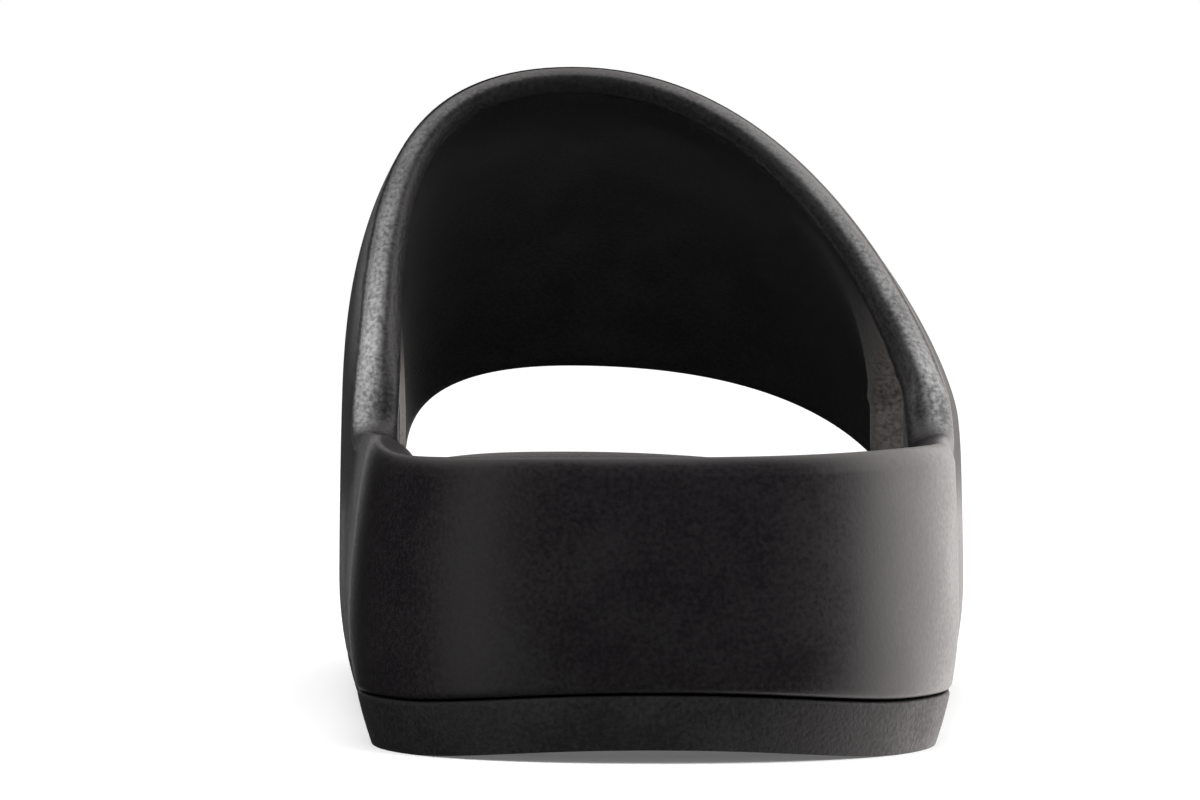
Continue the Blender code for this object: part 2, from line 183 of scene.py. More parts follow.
def outline():
    """Stations, plan points and inward normals of both sides. The normals are at right angles to
    the chord between the neighbours of each point on the closed outline."""
    s = np.array([stations(side) for side in SIDES])
    points = np.stack([np.array([edge(side, s[i]) for i, side in enumerate(SIDES)]), s], axis=2)
    loop = np.concatenate([points[0], points[1, -2:0:-1]])
    along = np.roll(loop, -1, axis=0) - np.roll(loop, 1, axis=0)
    along /= np.linalg.norm(along, axis=1)[:, None]
    inward = np.stack([along[:, 1], -along[:, 0]], axis=1)
    columns = s.shape[1]
    normals = np.empty_like(points)
    normals[0] = inward[:columns]
    normals[1, -1] = inward[columns - 1]
    normals[1, -2:0:-1] = inward[columns:]
    normals[1, 0] = inward[0]
    return s, points, normals


def both_sides(column, s):
    """A column of the sole's table, read at the stations of both sides."""
    return np.array([read(SOLE, by_side(side, column), s[i] / LENGTH) for i, side in enumerate(SIDES)])


def rim_height(s):
    """Where the side wall ends and its rounded lip begins."""
    return both_sides("rim", s) * HEEL_RIM - LIP_ROUND * SIDE_WALL / 2


def outer_wall(s, points, normals, bottom, top):
    """Rows of the side wall. Its inset from the outline is a parabola at the floor plus a parabola
    above the bulge and, under the strap's foot, a third one above the rim."""
    rim = rim_height(s)
    lean = both_sides("lean", s) * RIM_LEAN
    shares = (1 - np.cos(np.linspace(0, np.pi, WALL_STEPS + 1))) / 2
    levels = []
    for share in shares:
        z = bottom + (top - bottom) * share
        low = np.clip(1 - (z - ground(s)) / TUCK_HEIGHT, 0, 1)
        high = np.clip((z - BULGE_HEIGHT) / (rim - BULGE_HEIGHT), 0, None)
        foot = np.clip((z - rim) / REAR_FILLET, 0, None)
        inset = BOTTOM_TUCK * low**2 + lean * high**2 + np.array(FOOT_LEAN)[:, None] * foot**2
        levels.append(np.concatenate([points + normals * inset[..., None], z[..., None]], axis=2))
    return np.stack(levels, axis=2)


def soften(wall, normals, at_bottom, at_top):
    """Rounds the first and the last rows of a wall inwards by a quarter circle."""
    low = np.clip(1 - (wall[..., 2] - wall[:, :, :1, 2]) / EDGE_SOFTENING, 0, 1) * at_bottom
    high = np.clip(1 - (wall[:, :, -1:, 2] - wall[..., 2]) / EDGE_SOFTENING, 0, 1) * at_top
    inset = EDGE_SOFTENING * (2 - np.sqrt(1 - low**2) - np.sqrt(1 - high**2))
    wall[..., :2] += normals[:, :, None] * inset[..., None]
    return wall


def rows(first, last):
    """Rows from a wall's edge to the middle line: a straight blend of the two lines of points."""
    shares = FLOOR_SHARES[:, None]
    return first[..., None, :] * (1 - shares) + last[..., None, :] * shares


def spine(s, height):
    """Middle line, where the columns of both sides end, at the given height."""
    middle = np.clip(s.mean(axis=0), SPINE_HEEL, SPINE_TOE)
    x = read(SOLE, "drift", middle / LENGTH) * BALL_WIDTH
    line = np.stack([x, middle, height(middle)], axis=1)
    return np.stack([line, line])


def halves(*blocks):
    """The grids of both sides of every block, one after the other."""
    return [half for block in blocks for half in block]


def skin(name, grids, loops=(), marks=()):
    """One mesh from point grids; a loop grid also closes on itself. Marks are named values at
    the points. Doubles are merged, normals are turned outwards and the surface is shaded smooth."""
    coordinates = []
    faces = []
    start = 0
    for grid, closes in [(g, False) for g in grids] + [(g, True) for g in loops]:
        n, m = grid.shape[:2]
        index = np.arange(n * m).reshape(n, m) + start
        after = np.roll(index, -1, axis=0) if closes else index[1:]
        before = index if closes else index[:-1]
        quads = np.stack([before[:, :-1], after[:, :-1], after[:, 1:], before[:, 1:]], axis=2)
        faces.append(quads.reshape(-1, 4))
        coordinates.append(grid.reshape(-1, 3))
        start += n * m
    points = np.concatenate(coordinates) - np.array([0, LENGTH / 2, 0])
    mesh = bpy.data.meshes.new(name)
    mesh.from_pydata(points.tolist(), [], np.concatenate(faces).tolist())
    for mark in marks:
        values = np.concatenate([value.ravel() for value in marks[mark]])
        mesh.attributes.new(mark, "FLOAT", "POINT").data.foreach_set("value", values)
    form = bmesh.new()
    form.from_mesh(mesh)
    bmesh.ops.remove_doubles(form, verts=form.verts, dist=2e-6)
    bmesh.ops.dissolve_degenerate(form, edges=form.edges, dist=1e-7)
    bmesh.ops.recalc_face_normals(form, faces=form.faces)
    form.to_mesh(mesh)
    form.free()
    mesh.shade_smooth()
    piece = bpy.data.objects.new(name, mesh)
    bpy.context.collection.objects.link(piece)
    return piece


# Layers of the foam's grain, with their scales as shares of GRAIN_SCALE. The shares say how much
# tooth is in the height and how much cloud in the mottle, which is spread from its own range.
GRAIN_SCALE = 1500.0
TOOTH_SHARE = 0.35
CLOUD_SHARE = 0.6
MOTTLE_RANGE = (0.62, 0.98)
Layer = namedtuple("Layer", "name scale detail")
GRAIN = (
    Layer("pores", 1.0, 2.0),
    Layer("tooth", 2.6, 2.0),
    Layer("cloud", 0.06, 3.0),
)


def grain_group():
    """Moulded foam grain. Height is coarse pores plus a share of fine tooth, times Share. Mottle is
    the pores plus a share of a slow cloud, spread to the range from 0 to 1. Along below 1 stretches
    both along the shoe."""
    group = bpy.data.node_groups.new("foam_grain", "ShaderNodeTree")
    for name, value in (("Scale", GRAIN_SCALE), ("Share", 1.0), ("Along", 1.0)):
        socket = group.interface.new_socket(name, in_out="INPUT", socket_type="NodeSocketFloat")
        socket.default_value = value
    for name in ("Height", "Mottle"):
        group.interface.new_socket(name, in_out="OUTPUT", socket_type="NodeSocketFloat")
    nodes, links = group.nodes, group.links
    given = nodes.new("NodeGroupInput")
    result = nodes.new("NodeGroupOutput")
    place = nodes.new("ShaderNodeTexCoord")
    factors = nodes.new("ShaderNodeCombineXYZ")
    factors.inputs["X"].default_value = factors.inputs["Z"].default_value = 1.0
    links.new(given.outputs["Along"], factors.inputs["Y"])
    stretched = nodes.new("ShaderNodeVectorMath")
    stretched.operation = "MULTIPLY"
    links.new(place.outputs["Object"], stretched.inputs[0])
    links.new(factors.outputs[0], stretched.inputs[1])
    noises = {}
    for name, scale, detail in GRAIN:
        noise = nodes.new("ShaderNodeTexNoise")
        noise.inputs["Detail"].default_value = detail
        size = nodes.new("ShaderNodeMath")
        size.operation = "MULTIPLY"
        size.inputs[1].default_value = scale
        links.new(given.outputs["Scale"], size.inputs[0])
        links.new(size.outputs[0], noise.inputs["Scale"])
        links.new(stretched.outputs[0], noise.inputs["Vector"])
        noises[name] = noise.outputs["Fac"]
    rough = nodes.new("ShaderNodeMath")
    rough.operation = "MULTIPLY_ADD"
    rough.inputs[1].default_value = TOOTH_SHARE
    links.new(noises["tooth"], rough.inputs[0])
    links.new(noises["pores"], rough.inputs[2])
    height = nodes.new("ShaderNodeMath")
    height.operation = "MULTIPLY"
    links.new(rough.outputs[0], height.inputs[0])
    links.new(given.outputs["Share"], height.inputs[1])
    links.new(height.outputs[0], result.inputs["Height"])
    blend = nodes.new("ShaderNodeMath")
    blend.operation = "MULTIPLY_ADD"
    blend.inputs[1].default_value = CLOUD_SHARE
    links.new(noises["cloud"], blend.inputs[0])
    links.new(noises["pores"], blend.inputs[2])
    spread = nodes.new("ShaderNodeMapRange")
    spread.inputs["From Min"].default_value, spread.inputs["From Max"].default_value = MOTTLE_RANGE
    links.new(blend.outputs[0], spread.inputs["Value"])
    links.new(spread.outputs["Result"], result.inputs["Mottle"])
    return group


foam_grain = grain_group()

# A finish goes from its dark and low end to its light and high end as the grain's mottle does.
# Its green is lower than its red and blue by the same small amount in every finish.
Finish = namedtuple("Finish", "dark light roughness_low roughness_high warmth", defaults=(0.0,))
VIOLET = 0.0008


def grey(value, warmth=0.0):
    """Near-black with a touch of violet, as the foam's pigment has: green is lower by a constant.
    Warmth takes away a share of the blue and half that share of the green."""
    return (value, (value - VIOLET) * (1 - warmth / 2), value * (1 - warmth), 1)


def mixed(material, first, second, share):
    """Blend of two values or colours, each a socket or a constant, by a socket. The node's ends are
    its inputs 6 and 7 for colours and 2 and 3 for values."""
    mix = material.node_tree.nodes.new("ShaderNodeMix")
    colour = isinstance(second, tuple)
    mix.data_type = "RGBA" if colour else "FLOAT"
    ends = (6, 7) if colour else (2, 3)
    for end, value in zip(ends, (first, second)):
        if isinstance(value, bpy.types.NodeSocket):
            material.node_tree.links.new(value, mix.inputs[end])
        else:
            mix.inputs[end].default_value = value
    material.node_tree.links.new(share, mix.inputs[0])
    return mix.outputs[2 if colour else 0]


# Where the painted sheen lies, a lighter brownish grey that stands in for light falling on the
# lower inner walls, the grain is stretched along the shoe. The heel keeps only a share of the
# grain's height, and its finish gives way to the strap's between two places along Y.
SHEEN_STRETCH = 0.45
HEEL_GRAIN = 0.15
HEEL_FADE = (-0.105, -0.040)


def foam(name, outer, depth, specular, marked=(), heel=None):
    """Closed-cell foam with its grain in colour, in roughness and in a bump of the given depth.
    Marked is a list of mesh marks with the finish that each one brings; a heel finish takes over,
    with less grain, behind the strap."""
    material = bpy.data.materials.new(name)
    material.use_nodes = True
    nodes, links = material.node_tree.nodes, material.node_tree.links
    shader = nodes["Principled BSDF"]
    grain = nodes.new("ShaderNodeGroup")
    grain.node_tree = foam_grain
    mottle = grain.outputs["Mottle"]
    dark, light = grey(outer.dark), grey(outer.light)
    low, high = outer.roughness_low, outer.roughness_high
    share = 1.0
    if heel is not None:
        place = nodes.new("ShaderNodeTexCoord")
        split = nodes.new("ShaderNodeSeparateXYZ")
        links.new(place.outputs["Object"], split.inputs[0])
        fade = nodes.new("ShaderNodeMapRange")
        fade.interpolation_type = "SMOOTHSTEP"
        fade.inputs["From Min"].default_value, fade.inputs["From Max"].default_value = HEEL_FADE
        links.new(split.outputs["Y"], fade.inputs["Value"])
        ahead = fade.outputs["Result"]
        share = mixed(material, HEEL_GRAIN, 1.0, ahead)
        dark = mixed(material, grey(heel.dark), dark, ahead)
        light = mixed(material, grey(heel.light), light, ahead)
        low = mixed(material, heel.roughness_low, low, ahead)
        high = mixed(material, heel.roughness_high, high, ahead)
    for mark, finish in marked:
        attribute = nodes.new("ShaderNodeAttribute")
        attribute.attribute_name = mark
        there = attribute.outputs["Fac"]
        dark = mixed(material, dark, grey(finish.dark, finish.warmth), there)
        light = mixed(material, light, grey(finish.light, finish.warmth), there)
        low = mixed(material, low, finish.roughness_low, there)
        high = mixed(material, high, finish.roughness_high, there)
        share = mixed(material, share, 1.0, there)
        # The painted sheen's mark also stretches the grain along the shoe.
        if mark == "painted_sheen":
            links.new(mixed(material, 1.0, SHEEN_STRETCH, there), grain.inputs["Along"])
    colour = nodes.new("ShaderNodeMix")
    colour.data_type = "RGBA"
    rough = nodes.new("ShaderNodeMapRange")
    ends = (
        (colour.inputs[6], dark),
        (colour.inputs[7], light),
        (rough.inputs["To Min"], low),
        (rough.inputs["To Max"], high),
        (grain.inputs["Share"], share),
    )
    for socket, value in ends:
        if isinstance(value, bpy.types.NodeSocket):
            links.new(value, socket)
        else:
            socket.default_value = value
    links.new(mottle, colour.inputs[0])
    links.new(mottle, rough.inputs["Value"])
    links.new(colour.outputs[2], shader.inputs["Base Color"])
    links.new(rough.outputs["Result"], shader.inputs["Roughness"])
    bump = nodes.new("ShaderNodeBump")
    bump.inputs["Strength"].default_value = 1.0
    bump.inputs["Distance"].default_value = depth
    links.new(grain.outputs["Height"], bump.inputs["Height"])
    links.new(bump.outputs["Normal"], shader.inputs["Normal"])
    shader.inputs["Specular IOR Level"].default_value = specular
    return material


# Rows of grooves under the heel and the ball: the shares of LENGTH that each lies between and the
# way it bows. A groove stays a margin inside the sole's edge and narrows upwards to a share, and
# edges that turn by more than SHARP_ANGLE aren't smoothed over.
GROOVE_WIDTH = 0.0045
GROOVE_DEPTH = 0.0030
GROOVE_PITCH = 0.0190
GROOVE_BOW = 0.010
GROOVE_MARGIN = 0.0075
GROOVE_TAPER = 0.7
GROOVE_STEPS = 28
SHARP_ANGLE = 35
Tread = namedtuple("Tread", "first last bow")
TREAD = (
    Tread(0.10, 0.34, -1),
    Tread(0.45, 0.90, 1),
)


def tread_cutter():
    """Bowed bars with tapered sides: across each one, s bows by a parabola of the share of width."""
    form = bmesh.new()
    for row in TREAD:
        for s0 in np.arange(row.first, row.last, GROOVE_PITCH / LENGTH) * LENGTH:
            share = np.linspace(-1, 1, GROOVE_STEPS + 1)
            ends = np.array([edge(side, s0) for side in SIDES])
            ends -= np.array(SIDES) * (BOTTOM_TUCK + GROOVE_MARGIN)
            x = ends.mean() + (ends[1] - ends[0]) / 2 * share
            s = s0 + row.bow * GROOVE_BOW * (1 - share**2)
            half = GROOVE_WIDTH / 2
            low = np.full_like(s, -GROOVE_DEPTH)
            high = ground(s) + GROOVE_DEPTH
            ring = ((-half, low), (half, low), (half * GROOVE_TAPER, high), (-half * GROOVE_TAPER, high))
            lines = [np.stack([x, s + width - LENGTH / 2, z], axis=1) for width, z in ring]
            corners = [[form.verts.new(point) for point in line] for line in lines]
            for a, b in zip(corners, corners[1:] + corners[:1]):
                for i in range(GROOVE_STEPS):
                    form.faces.new((a[i], a[i + 1], b[i + 1], b[i]))
            for end in (0, -1):
                form.faces.new([line[end] for line in corners])
    bmesh.ops.recalc_face_normals(form, faces=form.faces)
    mesh = bpy.data.meshes.new("tread_cutter")
    form.to_mesh(mesh)
    form.free()
    cutter = bpy.data.objects.new("tread_cutter", mesh)
    bpy.context.collection.objects.link(cutter)
    return cutter


def cut_tread(sole):
    """Cuts the grooves into the sole, keeps the cut mesh and takes the cutter away."""
    cutter = tread_cutter()
    cut = sole.modifiers.new("tread", "BOOLEAN")
    cut.operation = "DIFFERENCE"
    cut.solver = "EXACT"
    cut.object = cutter
    graph = bpy.context.evaluated_depsgraph_get()
    mesh = bpy.data.meshes.new_from_object(sole.evaluated_get(graph))
    sole.modifiers.clear()
    sole.data = mesh
    mesh.set_sharp_from_angle(angle=np.radians(SHARP_ANGLE))
    bpy.data.objects.remove(cutter)


s, plan, inward = outline()
sole_wall = soften(outer_wall(s, plan, inward, ground(s), sole_top(s)), inward, 0, 1)
sole_under = rows(sole_wall[:, :, 0], spine(s, ground))
sole_over = rows(sole_wall[:, :, -1], spine(s, sole_top))
outsole = skin("outsole_finished", halves(sole_wall, sole_under, sole_over))
cut_tread(outsole)
tread_skin = Finish(0.006, 0.011, 0.50, 0.66)
outsole.data.materials.append(foam("tread_foam", tread_skin, depth=0.00010, specular=0.30))
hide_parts("outsole")
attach(outsole, "root")


# Upper and midsole: one injection-moulded foam piece. The side walls of the cupped midsole run up
# into the strap without a seam, and the mould leaves a rounded lip round each opening.
CLEARANCE = 0.0003
STRAP_WALL = 0.0048
HEEL_BED = 0.0290
BED_DISH = 0.0025
INSOLE_THICKNESS = 0.0040
WALL_FILLET = 0.0055
LIP_FULLNESS = 2.5

# The slope is how far the arches set off forwards at their rear foot, and backwards at their front
# one, for each unit of height. Away from the strap the rim's inner edge drops and its lip is fuller.
FOOT_SLOPE = 0.30
INNER_DROP = 0.0022
INNER_DROP_LENGTH = 0.010
RIM_FULLNESS = 0.20

ARCH_STEPS = 46
LIP_STEPS = 32
INNER_STEPS = 14
CLIMBED = np.linspace(0, 1, ARCH_STEPS + 1)
LIP_TURN = np.linspace(0, 1, LIP_STEPS + 1)

# Padding of the strap's inner and outer side. It grows from the rear edge and runs out towards the
# front edge, up towards the crown, and down to PADDING_BOTTOM insole thicknesses above the floor.
PADDING = (0.0030, 0.0068)
PADDING_REAR_RATE = 4
PADDING_FRONT = 0.95
PADDING_FRONT_RATE = 2.2
PADDING_TOP = 0.62
PADDING_TOP_RATE = 1.9
PADDING_BOTTOM = 1.3

# The strap's moulded rear edge from the outer skin, at a place of 1, to the inner skin, at -1: a
# wide bevel up to a ridge, a narrow facet down to a crease, and a thin roll. Places differ between
# the foot's inner and outer side, rise is a share of EDGE_HEIGHT, and band is the share of the
# painted highlight, a lighter colour over the coarse grain.
EDGE_HEIGHT = 0.0030
PARTING_DEPTH = 0.0010
PARTING_WIDTH = 0.09
PARTING_PLACE = 0.88
PARTING_OUTER_LOSS = 0.7
Edge = namedtuple("Edge", "turn place_in place_out rise band")
EDGE = (
    Edge(0.00, 1.00, 1.00, 0.00, 0.05),
    Edge(0.08, 0.97, 0.97, 0.16, 0.12),
    Edge(0.16, 0.86, 0.86, 0.34, 0.65),
    Edge(0.30, 0.56, 0.58, 0.68, 1.00),
    Edge(0.42, 0.22, 0.28, 0.92, 0.90),
    Edge(0.48, 0.06, 0.12, 0.99, 0.50),
    Edge(0.54, -0.08, -0.02, 0.99, 0.16),
    Edge(0.68, -0.44, -0.32, 0.84, 0.10),
    Edge(0.78, -0.74, -0.57, 0.56, 0.06),
    Edge(0.84, -0.84, -0.70, 0.44, 0.04),
    Edge(0.92, -0.95, -0.87, 0.30, 0.02),
    Edge(1.00, -1.00, -1.00, 0.00, 0.00),
)

# The sole's rim, in the same terms: a tight outer shoulder, a rounded top and a long fall inside.
Rim = namedtuple("Rim", "turn place rise")
RIM = (
    Rim(0.00, 1.00, 0.00),
    Rim(0.10, 0.985, 0.36),
    Rim(0.20, 0.94, 0.64),
    Rim(0.30, 0.85, 0.86),
    Rim(0.40, 0.68, 0.98),
    Rim(0.50, 0.44, 1.00),
    Rim(0.62, 0.06, 0.93),
    Rim(0.74, -0.36, 0.76),
    Rim(0.86, -0.76, 0.48),
    Rim(0.94, -0.95, 0.22),
    Rim(1.00, -1.00, 0.00),
)


def smooth_step(value):
    """Cubic from 0 to 1, level at both ends: three squares of the value less two cubes."""
    value = np.clip(value, 0, 1)
    return value * value * (3 - 2 * value)


# Degrees that the arcs at the strap's rear and front feet turn through.
REAR_TURN = 90
FRONT_TURN = 50


def wall_top(s):
    """The rim, and at each foot of the strap an arc up from it that turns by a given angle: with sine
    its sine and d the share of the fillet's length, length * (1 - sqrt(1 - (d * sine) ** 2)) / sine."""
    rear = np.clip(1 - (s[:, FIRST_STRAP, None] - s) / REAR_FILLET, 0, 1)
    front = np.clip(1 - (s - s[:, LAST_STRAP, None]) / FRONT_FILLET, 0, 1)
    before = np.zeros(FIRST_STRAP)
    ahead = np.ones(s.shape[1] - LAST_STRAP - 1)
    across = np.concatenate([before, ACROSS, ahead])
    length = REAR_FILLET * (1 - across) + FRONT_FILLET * across
    sine = np.sin(np.radians(REAR_TURN * (1 - across) + FRONT_TURN * across))
    return rim_height(s) + length * (1 - np.sqrt(1 - (np.minimum(rear, front) * sine) ** 2)) / sine


def past_strap(s):
    """Distance behind the strap's rear foot or ahead of its front foot, below 0 between them."""
    return np.maximum(s[:, FIRST_STRAP, None] - s, s - s[:, LAST_STRAP, None])


def strap_padding(s):
    """Padding at the rim: the product of a smooth step up at the strap's rear edge and one down
    towards its front edge."""
    grown = smooth_step(ACROSS * PADDING_REAR_RATE)
    left = smooth_step((PADDING_FRONT - ACROSS) * PADDING_FRONT_RATE)
    padded = np.zeros(s.shape)
    padded[:, FIRST_STRAP : LAST_STRAP + 1] = grown * left
    return padded * np.array(PADDING)[:, None]


def level(normals):
    """The plan's normals with a height of 0."""
    return np.concatenate([normals, np.zeros(normals.shape[:2] + (1,))], axis=2)


def bed_height(along):
    """Floor of the cup at the middle line, from its shares of the heel's bed."""
    return read(SOLE, "bed", along / LENGTH) * HEEL_BED


def cup_wall(s, normals, rim_edge, z, padding=0.0):
    """Cup's inner wall at height z: it moves inwards by the square of the share of its depth, and
    the strap's padding at its top runs out above the insole."""
    floor = bed_height(s) + BED_DISH
    down = np.clip((rim_height(s) - z) / (rim_height(s) - floor), 0, None)
    gone = smooth_step((rim_height(s) - z) / (rim_height(s) - floor - INSOLE_THICKNESS * PADDING_BOTTOM))
    points = rim_edge.copy()
    points[..., :2] += normals * (WALL_FILLET * down**2 - padding * gone)[..., None]
    points[..., 2] = z
    return points


def dished(edge_points, middle, rise):
    """Floor from its edge to the middle line: its height falls with the square of the share left."""
    surface = rows(edge_points, middle)
    bottom = middle[..., 2:] + rise
    surface[..., 2] = bottom + (edge_points[..., 2:] - bottom) * (1 - FLOOR_SHARES) ** 2
    return surface


def arch(feet, directions, wall=0.0):
    """Skin of the strap: on each side a cubic Bezier from its foot, leaving along the side wall, to
    the crown, arriving level a wall's thickness below the outer skin."""
    crown = np.stack(
        [
            read(STRAP, "offset", ACROSS) * BALL_WIDTH,
            read(STRAP, "crown", ACROSS) * LENGTH,
            read(STRAP, "height", ACROSS) * INSTEP_HEIGHT - wall,
        ],
        axis=1,
    )
    f = CLIMBED[:, None]
    skins = []
    for i, side in enumerate(SIDES):
        foot = feet[i]
        rise = read(STRAP, by_side(side, "rise"), ACROSS)[:, None]
        reach = read(STRAP, by_side(side, "reach"), ACROSS)[:, None]
        lower = foot + directions[i] * (crown - foot)[:, 2:] * rise
        upper = crown + np.array([side, 0, 0]) * np.abs(crown - foot)[:, :1] * reach
        skins.append(
            foot[:, None] * (1 - f) ** 3
            + lower[:, None] * 3 * f * (1 - f) ** 2
            + upper[:, None] * 3 * f**2 * (1 - f)
            + crown[:, None] * f**3
        )
    return np.stack(skins)


def skin_normals(outer):
    """Unit normals towards the foot: the cross product of the two grid directions."""
    over = np.concatenate([outer[0], outer[1][:, -2::-1]], axis=1)
    normals = np.cross(np.gradient(over, axis=0), np.gradient(over, axis=1))
    normals /= np.linalg.norm(normals, axis=2)[..., None]
    normals *= -np.sign(normals[STRAP_STEPS // 2, ARCH_STEPS, 2])
    return np.stack([normals[:, : ARCH_STEPS + 1], normals[:, : ARCH_STEPS - 1 : -1]])


# The wall's offset turns to the skin's own normal over the first quarter of the climb. The front's
# own inner arch takes over from a third of the way across.
NORMAL_RATE = 4
OWN_ARCH_RATE = 1.4
OWN_ARCH_START = 0.4


def strap_skins(wall, normals, padded):
    """Outer skin and, a wall's thickness inside it, inner skin. The thickness falls as a sine from
    the feet to the crown, and the offset turns from level to the skin's own normal. Towards the
    front edge, which leaves its feet nearly level, the inner skin is an arch of its own. That arch
    starts without the padding, so a slit stays open between it and the top of the cup's wall."""
    strap = slice(FIRST_STRAP, LAST_STRAP + 1)
    feet = wall[:, strap, -1]
    directions = feet - wall[:, strap, -4]
    directions /= directions[..., 2:]
    directions[..., 1] += FOOT_SLOPE * np.linspace(1, -1, STRAP_STEPS + 1)
    outer = arch(feet, directions)
    thickness = SIDE_WALL + (STRAP_WALL - SIDE_WALL) * np.sin(CLIMBED * np.pi / 2)
    turned = smooth_step(CLIMBED * NORMAL_RATE)[:, None]
    inwards = level(normals[:, strap])[:, :, None] * (1 - turned) + skin_normals(outer) * turned
    inwards /= np.linalg.norm(inwards, axis=3)[..., None]
    padding = padded[:, strap, None] * smooth_step((PADDING_TOP - CLIMBED) * PADDING_TOP_RATE)
    inner = outer + inwards * (thickness + padding)[..., None]
    own = arch(feet + level(normals[:, strap]) * SIDE_WALL, directions, STRAP_WALL)
    ahead = smooth_step(ACROSS * OWN_ARCH_RATE - OWN_ARCH_START)[:, None, None]
    inner = inner * (1 - ahead) + own * ahead
    inner[:, :, -1] = inner[:, :, -1].mean(axis=0)
    return outer, inner


def lip(outer, inner, moulded, dropped, outer_side=0.0):
    """Lip between two closed edges, standing out at right angles to the edge: half a superellipse
    across the wall, the rim's profile where the inner edge is dropped, and where moulded is 1 the
    strap's own edge profile, less a bell curve for its parting groove. Where outer_side is 1 that
    profile is the outer side's and its groove is shallower."""
    along = np.roll(outer + inner, -1, axis=0) - np.roll(outer + inner, 1, axis=0)
    half = (outer - inner) / 2
    out = np.cross(along, half)
    out /= np.linalg.norm(out, axis=1)[:, None]
    thick = np.linalg.norm(half, axis=1)[:, None]
    turn = LIP_TURN[:, None, None]
    swing = np.cos(turn * np.pi)
    plain_place = np.abs(swing) ** (2 / LIP_FULLNESS) * np.sign(swing)
    plain_place = plain_place * (1 - dropped) + read(RIM, "place", turn) * dropped
    plain_rise = np.sin(turn * np.pi) ** (2 / LIP_FULLNESS)
    plain_rise = plain_rise * (1 - dropped) + read(RIM, "rise", turn) * dropped
    plain_rise = plain_rise * thick * LIP_ROUND * (1 + RIM_FULLNESS * dropped)
    place = read(EDGE, "place_in", turn) * (1 - outer_side) + read(EDGE, "place_out", turn) * outer_side
    groove = np.exp(-(((place - PARTING_PLACE) / PARTING_WIDTH) ** 2))
    groove = groove * PARTING_DEPTH * (1 - PARTING_OUTER_LOSS * outer_side)
    rise = EDGE_HEIGHT * read(EDGE, "rise", turn) - groove
    across = plain_place * (1 - moulded) + place * moulded
    height = plain_rise * (1 - moulded) + rise * moulded
    grid = (outer + inner) / 2 + half * across + out * height
    grid[0] = outer
    grid[-1] = inner
    return grid.transpose(1, 0, 2)


def rear_loop(rim, strap):
    """Edge of the foot opening: round the heel, then over the strap's rear band."""
    heel = np.concatenate([rim[1, FIRST_STRAP - 1 : 0 : -1], rim[0, :FIRST_STRAP]])
    return np.concatenate([heel, strap[0, 0], strap[1, 0, -2::-1]])


def toe_loop(rim, strap):
    """Edge of the toe opening: round the toe, then over the strap's front band."""
    toe = np.concatenate([rim[0, LAST_STRAP + 1 :], rim[1, -2:LAST_STRAP:-1]])
    return np.concatenate([toe, strap[1, -1], strap[0, -1, -2::-1]])


# The strap's edge takes its own profile over a fourteenth of its length at each foot.
EDGE_RATE = 14


def strap_share(loop, rim_points):
    """0 on the sole's rim and 1 on the strap's edge, with a smooth step at each foot."""
    along = np.linspace(0, 1, len(loop) - rim_points)
    share = smooth_step(np.minimum(along, 1 - along) * EDGE_RATE)
    return np.concatenate([np.zeros(rim_points), share])[:, None]


# The share of the rear edge's painted highlight at shares of the climb from either foot to the
# crown, so the painted highlight is strong at the feet and faint at the crown. On the outer skin a
# weak part of it fades out from the rear edge forwards and at the foot.
EDGE_HIGHLIGHT_CLIMB = ((0, 1), (0.1, 1), (0.25, 0.68), (0.5, 0.36), (1, 0.06))
EDGE_HIGHLIGHT_ON_SKIN = 0.2
EDGE_HIGHLIGHT_SKIN_RATE = 7
EDGE_HIGHLIGHT_FOOT_RATE = 6


def edge_highlight_marks(loop):
    """How far each point of the strap's rear lip has its painted highlight, a lighter colour over its
    coarse grain, which fades out on the sole's rim, and how far the outer skin has it next to that lip."""
    place = np.arange(len(loop))[:, None]
    foot = 2 * FIRST_STRAP - 1
    behind = np.minimum(foot - place, place + 1) / FOOT_STEPS
    climbed = 1 - np.abs(2 * (place - foot) / (len(loop) - 1 - foot) - 1)
    up = np.interp(climbed, *zip(*EDGE_HIGHLIGHT_CLIMB))
    share = np.where(place < foot, smooth_step(1 - behind), up)
    on_lip = read(EDGE, "band", LIP_TURN) * share
    near = smooth_step(1 - ACROSS * EDGE_HIGHLIGHT_SKIN_RATE) * EDGE_HIGHLIGHT_ON_SKIN
    return on_lip, near[:, None] * smooth_step(CLIMBED * EDGE_HIGHLIGHT_FOOT_RATE)


# The strap's finish goes down the side wall to a lowest height, over a given rise, and past the
# strap's feet by a given length.
STRAP_FINISH_LOW = 0.030
STRAP_FINISH_RISE = 0.012
STRAP_FINISH_PAST = 0.02


def strap_marks(wall, s):
    """How far the side wall has the strap's finish: a smooth step in height times one along it."""
    past = past_strap(s) / STRAP_FINISH_PAST
    high = smooth_step((wall[..., 2] - STRAP_FINISH_LOW) / STRAP_FINISH_RISE)
    return high * smooth_step(1 - past)[..., None]


# The painted sheen, which stands in for light falling in through the openings onto the inner
# walls, is full at the foot and is gone before halfway up to the crown. Forwards it loses most of
# itself, at a rate for the inner and one for the outer side.
SHEEN_START = 1.25
SHEEN_RATE = 2.6
SHEEN_LOSS = 0.96
SHEEN_LOSS_RATE = (1.8, 3.2)


